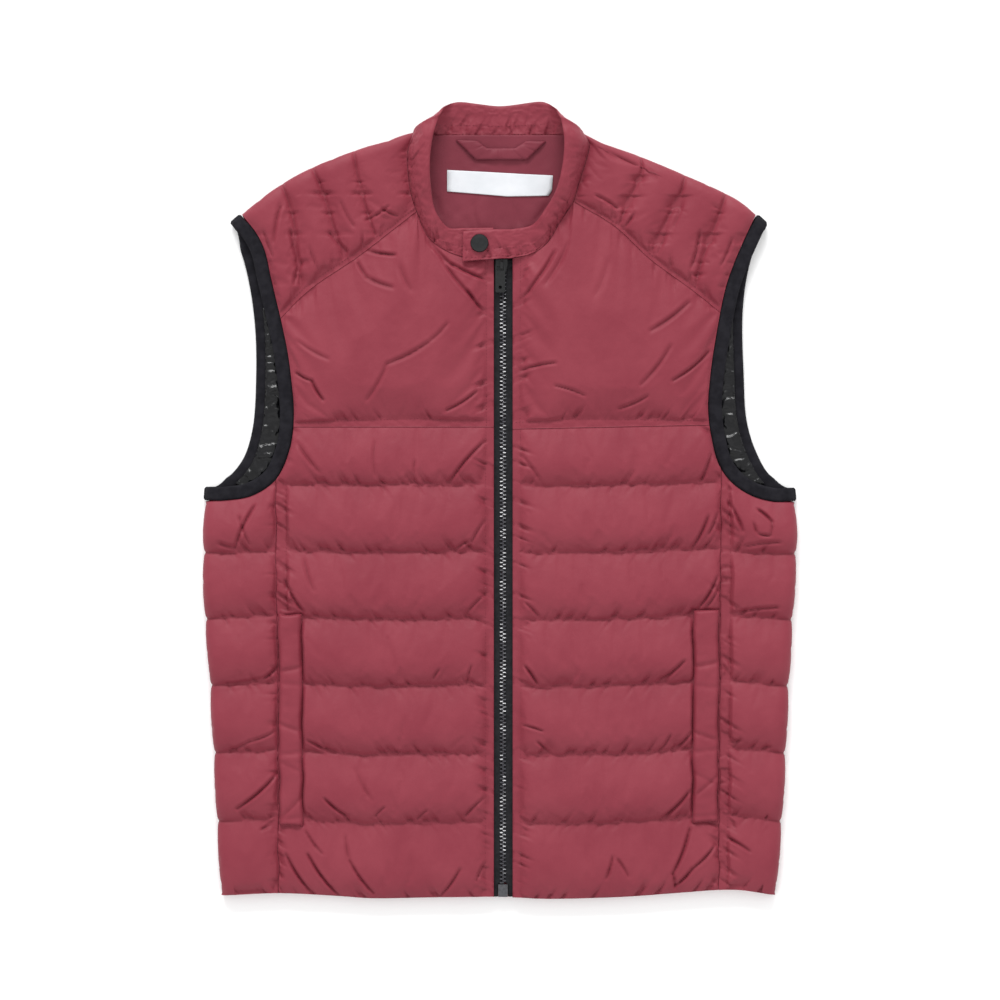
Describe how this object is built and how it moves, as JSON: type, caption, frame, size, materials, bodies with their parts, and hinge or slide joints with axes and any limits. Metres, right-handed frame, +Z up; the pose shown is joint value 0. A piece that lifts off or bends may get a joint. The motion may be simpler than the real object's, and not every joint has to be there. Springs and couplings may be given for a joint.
{
  "type": "puffer vest",
  "caption": "Sleeveless quilted zip vest laid flat on its back, with a stand collar held by a snap tab, bound armholes and pocket welts.",
  "frame": {"origin": "middle of the bounding box on the ground that the back rests on", "axes": "+X to the viewer's right, the wearer's left; +Y from the hem to the collar; +Z up from the ground, through the front"},
  "size_m": [0.524, 0.7026, 0.0285],
  "materials": {
    "shell_cloth": "burgundy nylon, soft satin",
    "facing_cloth": "burgundy nylon, matt",
    "binding": "black knitted binding, matt",
    "lining": "black nylon, glossy",
    "zip_tape": "black woven tape, matt",
    "zip_teeth": "black moulded plastic, satin",
    "metal_black": "black enamel, satin",
    "label_cloth": "white woven satin, bare"
  },
  "bodies": {
    "garment": {"back_panel": "shell_cloth", "front_left": "shell_cloth", "front_right": "shell_cloth", "side_left": "shell_cloth", "side_right": "shell_cloth", "chest_left": "shell_cloth", "chest_right": "shell_cloth", "yoke_left": "shell_cloth", "yoke_right": "shell_cloth", "collar": "shell_cloth", "welt_left": "shell_cloth", "welt_right": "shell_cloth", "neck_facing": "facing_cloth", "hanger_loop": "facing_cloth", "neck_label": "label_cloth", "binding_left": "binding", "binding_right": "binding", "lining_left": "lining", "lining_right": "lining", "zip_tape_left": "zip_tape", "zip_tape_right": "zip_tape", "zip_chain": "zip_teeth", "zip_box": "zip_teeth", "zip_slider": "metal_black", "snap_cap": "metal_black"},
    "pull_tab": {"zip_pull": "metal_black"}
  },
  "joints": [
    {"name": "pull_hinge", "type": "hinge", "parent": "garment", "child": "pull_tab", "pos_m": [0.0002, 0.2066, 0.0119], "axis": [-1, 0, 0], "range_deg": [0, 120]}
  ]
}
